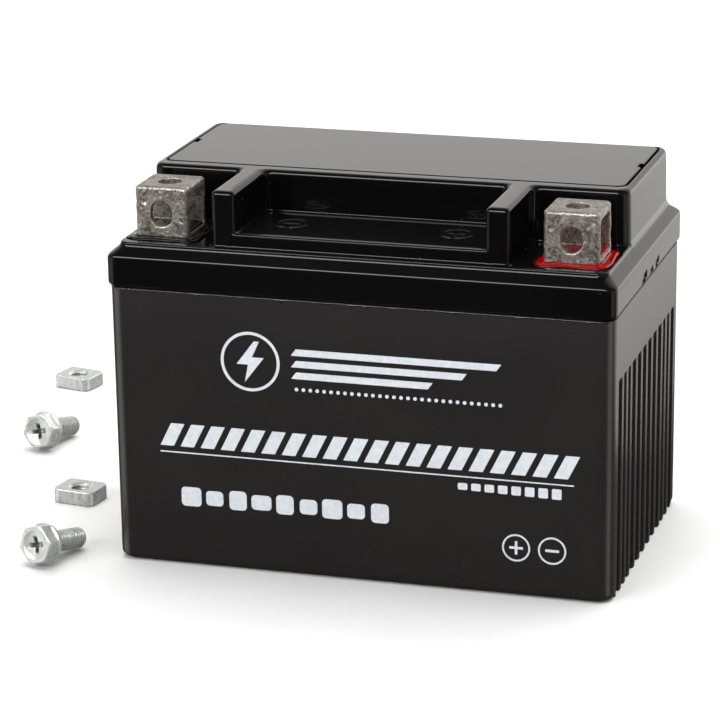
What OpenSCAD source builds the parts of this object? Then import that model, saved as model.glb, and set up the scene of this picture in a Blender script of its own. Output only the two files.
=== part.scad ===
// Sealed six-cell motorcycle battery (AGM, 12 V 4 Ah size) with its two terminal bolts and nuts.
// Origin: centre of the underside of the case. +X right, +Y back, +Z up. Millimetres.

/* [Battery] */
// Overall length, left to right, over the cover flange
length = 113; // [112:0.5:118]
// Overall width, front to back, over the cover flange
width = 70; // [69:0.5:74]
// Overall height to the top of the cap strip
height = 85; // [84:0.5:95]
// Thickness of the outer walls of the case and cover
wall = 2.4; // [1.8:0.1:2.8]
// Thickness of the walls between the cells
partition = 1.5; // [1.2:0.1:1.8]

/* [Case] */
// Height of the welded seam between case and cover
seam_z = 63; // [58:0.5:64]
// How far the cover flange overhangs the case on each side
flange_lip = 0.3; // [0.2:0.1:0.6]
// Corner radius of the case seen from above
case_r = 3.3; // [2:0.1:5]
// Rounding of the bottom edge
bottom_r = 1.8; // [0.5:0.1:2.2]
// Height of the grooves on the two ends
groove_top = 48.5; // [30:0.5:52]
// Depth of those grooves
groove_depth = 1.0; // [0.6:0.1:1.2]
// Width of the ribs left between the grooves
rib_w = 1.9; // [1.4:0.1:2.4]

/* [Cover] */
// Height of the upright band of the flange
flange_h = 7; // [5:0.5:8]
// Corner radius of the flange seen from above
flange_r = 2.4; // [1.5:0.1:4]
// How far the upper body stands in from the flange
shoulder = 2.2; // [1.8:0.1:2.6]
// Height of the two terminal platforms
platform_z = 72.7; // [72:0.1:74]
// Height of the shelf between the two dividers
shelf_z = 75.8; // [75:0.1:78]
// Front wall of the raised block behind the terminals
block_front = -11; // [-12:0.5:-10]
// Back wall of the raised block
block_back = 32; // [31:0.5:32]
// Inner and outer faces of the dividers
divider_in = 27.7; // [26:0.1:29]
divider_out = 33; // [32:0.1:34]
// Front end of the dividers and the shelf
divider_front = -31.6; // [-32:0.1:-30]

/* [Cap strip] */
// Thickness of the plate that joins the six plugs
plate_t = 2; // [1.6:0.1:2.4]
// Gap between the plate and the rim around it
plate_gap = 0.25; // [0.2:0.05:0.4]
// Bore of each filler well
well_bore = 11; // [10:0.1:11.6]
// Radial clearance of a plug in its well
plug_fit = 0.08; // [0.04:0.01:0.1]
// Length of the plugs below the plate
plug_len = 9.5; // [7:0.5:11]

/* [Terminals] */
// Width of a terminal, left to right
term_w = 12.3; // [11:0.1:13]
// Depth of a terminal, front to back
term_d = 12.2; // [11:0.1:13]
// Top of the terminals
term_top = 84.4; // [83.5:0.1:84.8]
// Wall thickness of a terminal
term_wall = 1.7; // [1.4:0.1:1.9]
// Centre of the terminals, front to back
term_y = -22.4; // [-23:0.1:-22]
// Diameter of the round hole in the top
bolt_hole = 5.3; // [5.2:0.1:5.6]
// Extra height of the slotted front hole
slot_extra = 0.9; // [0.5:0.1:1.2]
// Diameter of the lead post below the terminal
post_d = 7; // [6:0.5:8]

/* [Cells] */
// Positive plates in each cell (there is one more negative plate)
positives = 3; // [2:1:3]
// Thickness of a positive plate
pos_t = 1.9; // [1.5:0.1:2]
// Thickness of a negative plate
neg_t = 1.5; // [1.2:0.1:1.6]
// Thickness of a glass mat separator
mat_t = 0.75; // [0.6:0.05:0.8]
// Top of the plates
plate_top = 50; // [40:1:51]

/* [Terminal bolt and nut] */
// Thread diameter of the bolt (M5)
thread_d = 5; // [4:1:5]
// Length of the bolt under its head
bolt_len = 12; // [10:1:16]
// Width of the hexagon across its flats
hex_af = 8; // [7:0.5:8]
// Diameter of the flange under the hexagon
head_flange_d = 9.4; // [9:0.1:10]
// Nut: long side, short side, thickness
nut_l = 10.4; // [10:0.1:11]
nut_w = 8.5; // [8:0.1:8.6]
nut_t = 3.4; // [3:0.1:4]

/* [Hidden] */
$fn = 64;

touch = 0.02;                        // play between two pieces that sit face to face
cells = 6;
case_l = length - 2 * flange_lip;
case_w = width - 2 * flange_lip;
inner_l = case_l - 2 * wall;
inner_w = case_w - 2 * wall;
cell_w = (inner_l - (cells - 1) * partition) / cells;
cell_pitch = cell_w + partition;

flange_z = seam_z + flange_h;        // top of the upright band
foot_z = platform_z - 1;             // where the shoulder meets the small step
block_half = length / 2 - shoulder - 0.3;
ceiling_z = platform_z - 2.5;        // underside of the platforms
deck_z = height - 8;                 // floor of the chamber under the cap strip
deck_t = 2;
ledge_z = height - plate_t;          // the cap strip's plate rests here
well_foot = deck_z - 4;              // lower end of the filler wells
well_y = (block_front + block_back) / 2 + 6;
nipple_y = well_y - 14.5;
nipple_d = 4.4;
valve_gap = 0.03;                    // radial play of a valve cap on its nipple

term_x = (cells / 2 - 0.5) * cell_pitch;
term_foot = platform_z - 1.2;        // the terminals and their seals stand in a shallow well
seal_l = term_w + 4.2;
seal_w = term_d + 3.6;
seal_z = platform_z + 0.9;
fill_z = term_foot + 4.1;            // level of the resin inside the terminal

strap_z = plate_top + 5;             // underside of the cast straps
strap_t = 4;
lug_y = -term_y;                     // the lugs stand in line with the terminals
floor_rib = 2;
plate_z = wall + floor_rib + touch;
front_rib_y = [for (k = [0:3]) k * 5.4];
outer_rib_y = [for (k = [1:2]) 16.2 + k * 4.3];
rib_y = concat(front_rib_y, outer_rib_y);

plastic_case = [0.07, 0.07, 0.075];
plastic_cover = [0.03, 0.03, 0.035];
lead = [0.55, 0.54, 0.52];
zinc = [0.82, 0.83, 0.84];

// X of the middle of cell i, counted from 0 at the negative end
function cell_x(i) = (i - (cells - 1) / 2) * cell_pitch;
// Side on which the lug of a cell stands: neighbours alternate so that the links run straight
function lug_side(i, positive) = ((i % 2 == 0) != positive) ? -lug_y : lug_y;

// ---------- shapes used by several sub-parts ----------

module rounded_rect(l, w, r) {
    square([l - 2 * r, w], center = true);
    square([l, w - 2 * r], center = true);
    for (sx = [-1, 1], sy = [-1, 1])
        translate([sx * (l / 2 - r), sy * (w / 2 - r)]) circle(r);
}

// Upright block between two heights, with rounded corners seen from above
module slab(x0, x1, y0, y1, z0, z1, r) {
    translate([(x0 + x1) / 2, (y0 + y1) / 2, z0])
        linear_extrude(z1 - z0) rounded_rect(x1 - x0, y1 - y0, r);
}

module box(x0, x1, y0, y1, z0, z1) {
    translate([x0, y0, z0]) cube([x1 - x0, y1 - y0, z1 - z0]);
}

// Outline w wide from z0 to z1, with its two lower corners rounded to rb and the upper ones to rt
module profile(w, z0, z1, rb, rt) {
    translate([-w / 2, z0 + rb]) square([w, z1 - z0 - rb - rt]);
    if (rb > 0) {
        translate([-w / 2 + rb, z0]) square([w - 2 * rb, rb + 0.01]);
        for (s = [-1, 1]) translate([s * (w / 2 - rb), z0 + rb]) circle(rb);
    }
    if (rt > 0) {
        translate([-w / 2 + rt, z1 - rt - 0.01]) square([w - 2 * rt, rt + 0.01]);
        for (s = [-1, 1]) translate([s * (w / 2 - rt), z1 - rt]) circle(rt);
    }
}

// Extrudes an outline drawn in X and Z along the whole of Y, or one drawn in Y and Z along X
module along_y(l = 200) { translate([0, l / 2, 0]) rotate([90, 0, 0]) linear_extrude(l) children(); }
module along_x(l = 200) { rotate([0, 0, 90]) along_y(l) children(); }

// Block with rounded upright corners and rounded edges around its bottom and top
module soft_block(x0, x1, y0, y1, z0, z1, r, rb, rt) {
    intersection() {
        slab(x0, x1, y0, y1, z0 - 1, z1 + 1, r);
        translate([(x0 + x1) / 2, 0, 0]) along_y() profile(x1 - x0, z0, z1, rb, rt);
        translate([0, (y0 + y1) / 2, 0]) along_x() profile(y1 - y0, z0, z1, rb, rt);
    }
}

// ---------- case ----------

// Outer walls and floor, with two ribs on the floor of each cell for the plates to stand on
module case() {
    color(plastic_case) difference() {
        soft_block(-case_l / 2, case_l / 2, -case_w / 2, case_w / 2, 0, seam_z, case_r, bottom_r, 0);
        box(-inner_l / 2, inner_l / 2, -inner_w / 2, inner_w / 2, wall, seam_z + 1);
        end_grooves();
    }
    color(plastic_case) for (i = [0:cells - 1], s = [-1, 1])
        box(cell_x(i) - cell_w / 2, cell_x(i) + cell_w / 2, s * 15 - 0.8, s * 15 + 0.8,
            wall - 0.5, wall + floor_rib);
}

// The grooves between neighbouring ribs, and one outside the last rib on each side
module end_grooves() {
    all_ribs = concat([for (y = rib_y) if (y > 0) -y], rib_y);
    last = max(rib_y);
    for (s = [-1, 1], y = all_ribs) {
        next_list = [for (q = all_ribs) if (q > y + 0.1) q];
        far = y == last ? y + 4.3 : min(next_list) - rib_w / 2;
        groove(s, y + rib_w / 2, far);
    }
    for (s = [-1, 1]) groove(s, -last - 4.3, -last - rib_w / 2);
}

module groove(side, y0, y1) {
    x_out = side * (case_l / 2 + 1);
    x_in = side * (case_l / 2 - groove_depth);
    box(min(x_out, x_in), max(x_out, x_in), y0, y1, -1, groove_top);
}

// The five walls between the cells, moulded with the case
module cell_walls() {
    color(plastic_case) difference() {
        for (i = [0:cells - 2]) cell_wall(i, -inner_w / 2, inner_w / 2, wall, seam_z);
        link_holes();
    }
}

module cell_wall(i, y0, y1, z0, z1) {
    x = (cell_x(i) + cell_x(i + 1)) / 2;
    box(x - partition / 2, x + partition / 2, y0, y1, z0, z1);
}

// Holes through the partitions for the welds of the cell links
module link_holes() {
    for (i = [0:cells - 2])
        translate([(cell_x(i) + cell_x(i + 1)) / 2, lug_side(i, true), strap_z + strap_t + 0.5])
            rotate([0, 90, 0]) cylinder(d = 4.04, h = partition + 1, center = true);
}

// ---------- cover ----------

// The cover is one moulding, given as a lower shell up to the platforms and the simple shapes that stand on it
module cover() {
    color(plastic_cover) difference() {
        flange_block();
        cover_hollow();
        for (s = [-1, 1]) terminal_well(s);
    }
}

// Raised block with the chamber under the cap strip, the filler wells and the nipples of the valves
module cover_block() {
    color(plastic_cover) difference() {
        union() {
            difference() {
                soft_block(-block_half, block_half, block_front, block_back, platform_z, height, 2.8, 0, 0.7);
                cover_hollow();
                cap_chamber();
            }
            filler_wells();
            valve_nipples();
        }
        for (i = [0:cells - 1]) {
            translate([cell_x(i), well_y, deck_z - 9]) cylinder(d = well_bore, h = 20);
            translate([cell_x(i), nipple_y, deck_z - 3]) cylinder(d = 2, h = 10);
        }
    }
}

module cover_shelf() {
    color(plastic_cover) difference() {
        along_x(2 * divider_in) front_rounded(divider_front, block_front, platform_z, shelf_z, 0.7);
        cover_hollow();
    }
}

// Outline in Y and Z with only its upper front corner rounded
module front_rounded(y0, y1, z0, z1, r) {
    translate([y0 + r, z0]) square([y1 - y0 - r, z1 - z0]);
    translate([y0, z0]) square([r + 0.01, z1 - z0 - r]);
    translate([y0 + r, z1 - r]) circle(r);
}

// Wall beside the shelf; its corner next to the shelf is square up to the shelf's height
module cover_divider(side) {
    in = side * divider_in;
    out = side * divider_out;
    corner = side * (divider_in + 2.3);
    color(plastic_cover) {
        intersection() {
            soft_block(min(in, out), max(in, out), divider_front, block_front + 4, platform_z, height, 2.2, 0, 0.7);
            box(-length, length, -width, block_front, 0, height + 1);
        }
        box(min(in, corner), max(in, corner), divider_front, divider_front + 2.3, platform_z, shelf_z);
    }
}
module cover_divider_left() { cover_divider(-1); }
module cover_divider_right() { cover_divider(1); }

// Flange, sloping shoulder and the small step up to the terminal platforms
module flange_block() {
    intersection() {
        slab(-length / 2, length / 2, -width / 2, width / 2, seam_z - 1, height, flange_r);
        along_y() shoulder_profile(length / 2);
        along_x() shoulder_profile(width / 2);
    }
}

module shoulder_profile(half) {
    foot = half - shoulder;
    top = foot - 0.3;
    polygon([[-half, seam_z], [half, seam_z], [half, flange_z], [foot, foot_z], [top, platform_z],
             [-top, platform_z], [-foot, foot_z], [-half, flange_z]]);
}

module cover_hollow() {
    in_x = block_half - wall;
    slab(-length / 2 + wall + 0.3, length / 2 - wall - 0.3, -width / 2 + wall + 0.3,
         width / 2 - wall - 0.3, seam_z - 1, ceiling_z, 1.5);
    slab(-in_x, in_x, block_front + wall, block_back - wall, seam_z, deck_z - deck_t, 1.5);
    slab(-divider_in + wall, divider_in - wall, divider_front + wall, block_front + wall + 2,
         seam_z, shelf_z - 2.2, 1);
}

// Space below the cap strip: the plate's recess and the chamber that holds wells and valves
module cap_chamber() {
    plate_x = block_half - 1.8;
    slab(-plate_x, plate_x, block_front + 3.8, block_back - 1.3, ledge_z, height + 1, 2.2);
    slab(-plate_x + 2.2, plate_x - 2.2, block_front + 6, block_back - 3.5, deck_z, ledge_z + 1, 2);
}

module filler_wells() {
    for (i = [0:cells - 1])
        translate([cell_x(i), well_y, well_foot]) cylinder(d = well_bore + 2.4, h = ledge_z - 0.5 - well_foot);
}

module valve_nipples() {
    for (i = [0:cells - 1])
        translate([cell_x(i), nipple_y, deck_z - 1]) cylinder(d = nipple_d, h = 4);
}

// The five walls under the cover that close each cell, moulded with it
module cover_cell_walls() {
    color(plastic_cover) intersection() {
        union() for (i = [0:cells - 2]) cell_wall(i, -inner_w / 2, inner_w / 2, seam_z, deck_z);
        cover_hollow();
    }
}

// Shallow well for the resin, and the hole for the post
module terminal_well(side) {
    slab(side * term_x - seal_l / 2, side * term_x + seal_l / 2, term_y - seal_w / 2, term_y + seal_w / 2,
         term_foot, platform_z + 1, 2.4);
    translate([side * term_x, term_y, ceiling_z - 1]) cylinder(d = post_d + 2 * touch, h = 5);
}

// ---------- cap strip with its six plugs, and what it covers ----------

module cap_strip() {
    half_x = block_half - 1.8 - plate_gap;
    y0 = block_front + 3.8 + plate_gap;
    y1 = block_back - 1.3 - plate_gap;
    color(plastic_cover) difference() {
        union() {
            slab(-half_x, half_x, y0, y1, ledge_z + touch, height, 2);
            for (i = [0:cells - 1])
                translate([cell_x(i), well_y, ledge_z - plug_len])
                    cylinder(d = well_bore - 2 * plug_fit, h = plug_len + 0.5);
            for (s = [-1, 1])
                translate([s * 2 * cell_pitch, nipple_y, ledge_z - 2.4]) cylinder(d = 7.4, h = 2.6);
        }
        for (i = [0:cells - 1]) translate([cell_x(i), well_y, 0]) {
            translate([0, 0, ledge_z - plug_len - 1]) cylinder(d = 7, h = plug_len);
            seal_groove();
        }
        for (s = [-1, 1]) {
            translate([s * 2 * cell_pitch, nipple_y, ledge_z - 3]) cylinder(d = 5.5, h = 2.9);
            vent_channel(s, half_x);
            translate([s * half_x, well_y - 4, height - 1]) cube([1.8, 3.6, 3], center = true);
        }
    }
}

module seal_groove() {
    translate([0, 0, ledge_z - 5.2]) difference() {
        cylinder(d = well_bore + 2, h = 1.3);
        translate([0, 0, -1]) cylinder(d = well_bore - 2.3, h = 4);
    }
}

// Way out for gas from a flame arrestor to the plate's edge
module vent_channel(side, half_x) {
    x = side * 2 * cell_pitch;
    translate([x, nipple_y, ledge_z - 0.5]) cylinder(d = 1.4, h = 1.5);
    translate([x, nipple_y, height - plate_t / 2]) rotate([0, side * 90, 0])
        cylinder(d = 1, h = half_x - 2 * cell_pitch + 1);
}

module plug_seals() {
    color([0.12, 0.12, 0.12]) for (i = [0:cells - 1])
        translate([cell_x(i), well_y, ledge_z - 4.55]) rotate_extrude()
            translate([well_bore / 2 - 0.57, 0]) circle(0.53);
}

module flame_arrestors() {
    color([0.86, 0.84, 0.8]) for (s = [-1, 1])
        translate([s * 2 * cell_pitch, nipple_y, ledge_z - 2.2]) cylinder(d = 5.46, h = 2);
}

// Rubber cap that seals one nipple and lifts a little when the cell vents
module relief_valve(i) {
    color([0.16, 0.15, 0.14]) translate([cell_x(i - 1), nipple_y, deck_z + 1]) difference() {
        union() {
            cylinder(d = 6.6, h = 3);
            translate([0, 0, 0]) cylinder(d = 7.2, h = 0.7);
        }
        translate([0, 0, -1]) cylinder(d = nipple_d + 2 * valve_gap, h = 3 + 0.03);
    }
}
module relief_valve_1() { relief_valve(1); }
module relief_valve_2() { relief_valve(2); }
module relief_valve_3() { relief_valve(3); }
module relief_valve_4() { relief_valve(4); }
module relief_valve_5() { relief_valve(5); }
module relief_valve_6() { relief_valve(6); }

// ---------- terminals, posts and their seals ----------

// Cast lead box, open at its left and right sides so that the nut can be pushed in
module terminal(side) {
    x = side * term_x;
    cavity_d = term_d - 2 * term_wall;
    slot_r = (bolt_hole - 0.4) / 2;
    color(lead) difference() {
        soft_block(x - term_w / 2, x + term_w / 2, term_y - term_d / 2, term_y + term_d / 2,
                   term_foot, term_top, 1, 0, 0.7);
        box(x - term_w, x + term_w, term_y - cavity_d / 2, term_y + cavity_d / 2,
            term_foot + 2.5, term_top - 2);
        translate([x, term_y, term_top - 5]) cylinder(d = bolt_hole, h = 10);
        translate([x, term_y - term_d / 2 - 1, term_top - 6.1]) rotate([-90, 0, 0]) {
            for (s = [-1, 1]) translate([0, s * slot_extra / 2, 0]) cylinder(r = slot_r, h = term_wall + 3);
            translate([-slot_r, -slot_extra / 2, 0]) cube([2 * slot_r, slot_extra, term_wall + 3]);
        }
        translate([x, term_y, term_foot - 1]) cylinder(d = post_d + touch, h = 5);
    }
}
module negative_terminal() { terminal(-1); }
module positive_terminal() { terminal(1); }

// Lead post from the end strap up into the foot of the terminal
module post(side) {
    color(lead) translate([side * term_x, term_y, 0]) {
        translate([0, 0, strap_z + strap_t]) cylinder(d = post_d, h = term_foot + 2.5 - strap_z - strap_t);
        translate([0, 0, ceiling_z - 2.4]) cylinder(d = post_d + 3.4, h = 0.9);
    }
}
module negative_post() { post(-1); }
module positive_post() { post(1); }

// Cast resin around the foot of the terminal and inside it
module post_seal(side) {
    x = side * term_x;
    cavity_d = term_d - 2 * term_wall - 2 * touch;
    difference() {
        union() {
            slab(x - seal_l / 2 + touch, x + seal_l / 2 - touch, term_y - seal_w / 2 + touch,
                 term_y + seal_w / 2 - touch, term_foot + touch, seal_z, 2.4);
            slab(x - term_w / 2 - 0.7, x + term_w / 2 + 0.7, term_y - cavity_d / 2, term_y + cavity_d / 2,
                 term_foot + 1, fill_z, 0.6);
        }
        difference() {
            slab(x - term_w / 2 - touch, x + term_w / 2 + touch, term_y - term_d / 2 - touch,
                 term_y + term_d / 2 + touch, term_foot - 1, fill_z + 1, 1);
            box(x - term_w, x + term_w, term_y - cavity_d / 2, term_y + cavity_d / 2,
                term_foot + 2.5 + touch, fill_z + 2);
        }
    }
}
module negative_post_seal() { color([0.03, 0.03, 0.03]) post_seal(-1); }
module positive_post_seal() { color([0.75, 0.02, 0.03]) post_seal(1); }

module post_gasket(side) {
    color([0.1, 0.1, 0.1]) translate([side * term_x, term_y, ceiling_z - 1.5 + touch]) difference() {
        cylinder(d = post_d + 3.4, h = 1.5 - 2 * touch);
        translate([0, 0, -1]) cylinder(d = post_d + 2 * touch, h = 4);
    }
}
module negative_post_gasket() { post_gasket(-1); }
module positive_post_gasket() { post_gasket(1); }

// ---------- cells: straps, links, plates and separators ----------

// Bar cast onto the lugs of all plates of one polarity in cell i
module strap(i, positive) {
    y = lug_side(i, positive);
    box(cell_x(i) - cell_w / 2 + 0.6, cell_x(i) + cell_w / 2 - 0.6, y - 5, y + 5, strap_z, strap_z + strap_t);
}
module negative_end_strap() { color(lead) strap(0, false); }
module positive_end_strap() { color(lead) strap(cells - 1, true); }

// Positive strap of one cell joined through the partition to the negative strap of the next
module cell_link(k) {
    x_wall = (cell_x(k - 1) + cell_x(k)) / 2;
    y = lug_side(k - 1, true);
    color(lead) {
        strap(k - 1, true);
        strap(k, false);
        for (s = [-1, 1]) {
            x = x_wall + s * (partition / 2 + touch + 0.9);
            box(x - 0.9, x + 0.9, y - 4, y + 4, strap_z, strap_z + strap_t + 3);
        }
        translate([x_wall, y, strap_z + strap_t + 0.5]) rotate([0, 90, 0])
            cylinder(d = 4, h = partition + 1, center = true);
    }
}
module cell_link_1() { cell_link(1); }
module cell_link_2() { cell_link(2); }
module cell_link_3() { cell_link(3); }
module cell_link_4() { cell_link(4); }
module cell_link_5() { cell_link(5); }

// Left face of the n-th negative plate (n from 0) of a cell, from the middle of the cell
stack_w = positives * pos_t + (positives + 1) * neg_t + 2 * positives * (mat_t + 2 * touch);
stack_step = pos_t + neg_t + 2 * (mat_t + 2 * touch);
function neg_face(n) = -stack_w / 2 + n * stack_step;

module plate(i, x, t, positive, size) {
    y = lug_side(i, positive);
    box(cell_x(i) + x, cell_x(i) + x + t, -inner_w / 2 + 1.2, inner_w / 2 - 1.2, plate_z, size);
    box(cell_x(i) + x, cell_x(i) + x + t, y - 4, y + 4, size - 1, strap_z);
}

module positive_plates(c) {
    color([0.32, 0.2, 0.14]) for (n = [0:positives - 1])
        plate(c - 1, neg_face(n) + neg_t + mat_t + 2 * touch, pos_t, true, plate_top);
}
module negative_plates(c) {
    color([0.45, 0.46, 0.47]) for (n = [0:positives])
        plate(c - 1, neg_face(n), neg_t, false, plate_top);
}
module separators(c) {
    x = cell_x(c - 1);
    color([0.92, 0.91, 0.88]) for (n = [0:positives - 1], first = [neg_t + touch,
                                   neg_t + mat_t + 3 * touch + pos_t])
        box(x + neg_face(n) + first, x + neg_face(n) + first + mat_t, -inner_w / 2 + 0.4, inner_w / 2 - 0.4,
            plate_z, plate_top + 2);
}
module positive_plates_1() { positive_plates(1); }
module positive_plates_2() { positive_plates(2); }
module positive_plates_3() { positive_plates(3); }
module positive_plates_4() { positive_plates(4); }
module positive_plates_5() { positive_plates(5); }
module positive_plates_6() { positive_plates(6); }
module negative_plates_1() { negative_plates(1); }
module negative_plates_2() { negative_plates(2); }
module negative_plates_3() { negative_plates(3); }
module negative_plates_4() { negative_plates(4); }
module negative_plates_5() { negative_plates(5); }
module negative_plates_6() { negative_plates(6); }
module separators_1() { separators(1); }
module separators_2() { separators(2); }
module separators_3() { separators(3); }
module separators_4() { separators(4); }
module separators_5() { separators(5); }
module separators_6() { separators(6); }

// ---------- terminal bolts and nuts, lying beside the battery ----------

shank_r = thread_d / 2 - 0.05;
bolt_tilt = atan((head_flange_d / 2 - shank_r) / bolt_len);
rest_gap = 0.05;                     // the loose pieces stop just above the surface they lie on
bolt_at = [[-70.5, -41.5], [-100.5, 32.5]];   // under the head of each bolt
nut_at = [[-78.5, -0.5], [-111.5, 82]];       // middle of each nut

// Bolt with its axis on Z, the underside of its head at 0 and its tip downwards
module bolt() {
    color(zinc) difference() {
        union() {
            translate([0, 0, -bolt_len + 0.6]) cylinder(r = shank_r, h = bolt_len);
            translate([0, 0, -bolt_len]) cylinder(r = shank_r - 0.6, h = 1);
            cylinder(d = head_flange_d, h = 1);
            intersection() {
                cylinder(d = hex_af / cos(30), h = 3.8, $fn = 6);
                cylinder(d = hex_af + 0.9, h = 3.8);
            }
        }
        translate([0, 0, 3.4]) cylinder(d = hex_af - 1.4, h = 1);
        for (a = [0, 90]) rotate([0, 0, a]) translate([-2.1, -0.55, 1.8]) cube([4.2, 1.1, 3]);
    }
}

// Lays the bolt down on the rim of its head flange and the end of its thread
module lying_bolt(at, turn) {
    translate([at[0], at[1], rest_gap + head_flange_d / 2 * cos(bolt_tilt)])
        rotate([0, 0, turn]) rotate([90 - bolt_tilt, 0, 0]) rotate([0, 0, 15]) bolt();
}
module terminal_bolt_1() { lying_bolt(bolt_at[0], -18); }
module terminal_bolt_2() { lying_bolt(bolt_at[1], -12); }

module nut(at, turn) {
    color(zinc) translate([at[0], at[1], rest_gap]) rotate([0, 0, turn]) difference() {
        linear_extrude(nut_t) rounded_rect(nut_l, nut_w, 1.5);
        translate([0, 0, -1]) cylinder(d = thread_d - 0.8, h = nut_t + 2);
    }
}
module terminal_nut_1() { nut(nut_at[0], -8); }
module terminal_nut_2() { nut(nut_at[1], -12); }

case();
cell_walls();
cover();
cover_block();
cover_shelf();
cover_divider_left();
cover_divider_right();
cover_cell_walls();
cap_strip();
plug_seals();
flame_arrestors();
relief_valve_1();
relief_valve_2();
relief_valve_3();
relief_valve_4();
relief_valve_5();
relief_valve_6();
negative_terminal();
positive_terminal();
negative_post();
positive_post();
negative_post_seal();
positive_post_seal();
negative_post_gasket();
positive_post_gasket();
negative_end_strap();
positive_end_strap();
cell_link_1();
cell_link_2();
cell_link_3();
cell_link_4();
cell_link_5();
positive_plates_1();
positive_plates_2();
positive_plates_3();
positive_plates_4();
positive_plates_5();
positive_plates_6();
negative_plates_1();
negative_plates_2();
negative_plates_3();
negative_plates_4();
negative_plates_5();
negative_plates_6();
separators_1();
separators_2();
separators_3();
separators_4();
separators_5();
separators_6();
terminal_bolt_1();
terminal_bolt_2();
terminal_nut_1();
terminal_nut_2();
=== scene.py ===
"""A sealed motorcycle battery with its loose bolts and nuts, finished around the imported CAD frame.

Shapes with soft edges are signed distance fields on a fine grid, turned into meshes with OpenVDB.
The case, the weld flash, the cap strip and the print are built ring by ring.
Lengths are in millimetres and become metres when a mesh is made.
"""
import math

import bmesh
import bpy
import numpy as np
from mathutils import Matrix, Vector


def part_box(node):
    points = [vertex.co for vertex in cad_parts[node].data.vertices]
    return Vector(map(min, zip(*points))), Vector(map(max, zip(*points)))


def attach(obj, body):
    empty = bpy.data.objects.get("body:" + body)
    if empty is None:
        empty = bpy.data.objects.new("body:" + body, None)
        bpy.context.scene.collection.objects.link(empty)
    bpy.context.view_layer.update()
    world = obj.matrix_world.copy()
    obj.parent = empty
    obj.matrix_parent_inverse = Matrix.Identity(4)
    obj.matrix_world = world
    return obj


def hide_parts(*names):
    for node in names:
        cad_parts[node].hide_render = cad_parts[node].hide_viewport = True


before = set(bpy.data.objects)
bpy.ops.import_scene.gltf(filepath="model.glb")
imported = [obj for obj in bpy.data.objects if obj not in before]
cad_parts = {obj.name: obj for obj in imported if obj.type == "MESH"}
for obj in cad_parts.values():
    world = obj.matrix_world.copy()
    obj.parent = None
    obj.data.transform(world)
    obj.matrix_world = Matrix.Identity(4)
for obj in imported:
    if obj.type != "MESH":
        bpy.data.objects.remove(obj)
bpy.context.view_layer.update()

import openvdb
from mathutils import Matrix, Vector
from mathutils.geometry import tessellate_polygon

MM = 0.001


# ---------------------------------------------------------------- sizes, from the frame

def span(node):
    """Lowest and highest corner of a CAD node in millimetres."""
    low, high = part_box(node)
    return np.array(low) / MM, np.array(high) / MM


CASE_X, CASE_Y, SEAM = span("case")[1]
COVER_LOW, (FLANGE_X, FLANGE_Y, _) = span("cover")
TOP = span("cover_block")[1][2]
CAP_LOW, CAP_HIGH = span("cap_strip")
TERM_LOW, TERM_HIGH = span("positive_terminal")
SEAL_LOW, SEAL_HIGH = span("positive_post_seal")
VALVES = [span(f"relief_valve_{i}") for i in range(1, 7)]

# Levels, from the seam up.
FLANGE_Z = SEAM + 7                 # top of the cover's upright flange
PLATFORM = TERM_LOW[2] + 1.2        # around the terminals, whose feet are sunk in it
SHELF = PLATFORM + 3.1              # between the dividers
DECK = TOP - 8                      # floor of the chamber under the cap strip
LEDGE = TOP - 2                     # what the cap strip rests on

# Plan of the cover and the case.
SHOULDER = 2.2                      # how far the cover steps in above its flange
BLOCK_X = CAP_HIGH[0] + 2.05
BLOCK_FRONT = CAP_LOW[1] - 4.05
BLOCK_BACK = CAP_HIGH[1] + 1.55
DIVIDER_IN, DIVIDER_OUT, DIVIDER_FRONT = 27.7, 33.0, -31.6
CASE_FRONT = -CASE_Y
CASE_CORNER = 3.3
CELL_WALL = 1.5

# Middles of the cap strip, the cells with their valves and wells, and the terminals, and half sizes.
CAP_Y = (CAP_LOW[1] + CAP_HIGH[1]) / 2
CELL_X = [(low[0] + high[0]) / 2 for low, high in VALVES]
NIPPLE_Y = (VALVES[0][0][1] + VALVES[0][1][1]) / 2
WELL_Y = NIPPLE_Y + 14.5
TERM_X = (TERM_LOW[0] + TERM_HIGH[0]) / 2
TERM_Y = (TERM_LOW[1] + TERM_HIGH[1]) / 2
TERM_HALF = (TERM_HIGH - TERM_LOW) / 2
SEAL_HALF = (SEAL_HIGH - SEAL_LOW) / 2


# ---------------------------------------------------------------- distance fields

class Grid:
    """A block of space sampled at an even step. Its x, y and z broadcast against each other."""

    def __init__(self, low, high, step):
        self.step = step
        self.low = np.array(low, float) - 2.5 * step
        counts = np.ceil((np.array(high, float) + 2.5 * step - self.low) / step).astype(int) + 1
        axes = [np.float32(self.low[k]) + np.float32(step) * np.arange(counts[k], dtype=np.float32)
                for k in range(3)]
        self.x, self.y, self.z = np.meshgrid(*axes, indexing="ij", sparse=True)


def rect(u, v, half_u, half_v, radius):
    """Distance to a rectangle about the origin with rounded corners."""
    a = np.abs(u) - (half_u - radius)
    b = np.abs(v) - (half_v - radius)
    return np.hypot(np.maximum(a, 0), np.maximum(b, 0)) + np.minimum(np.maximum(a, b), 0) - radius


def disc(u, v, radius):
    """Distance to a circle about the origin."""
    return np.hypot(u, v) - radius


def between(w, low, high):
    """Distance to a slab between two values of w."""
    return np.maximum(low - w, w - high)


def meet(a, b, edge):
    """Where both shapes overlap, with the edge between them rounded to that radius."""
    p, q = a + edge, b + edge
    return np.minimum(np.maximum(p, q), 0) + np.hypot(np.maximum(p, 0), np.maximum(q, 0)) - edge


def join(a, b, fillet):
    """Both shapes, with a fillet of about that size where they meet."""
    h = np.maximum(fillet - np.abs(a - b), 0)
    return np.minimum(a, b) - h * h / (4 * fillet)


def cut(a, b, edge=0.3):
    """The first shape without the second, with softened edges."""
    return -join(-a, b, edge)


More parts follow.
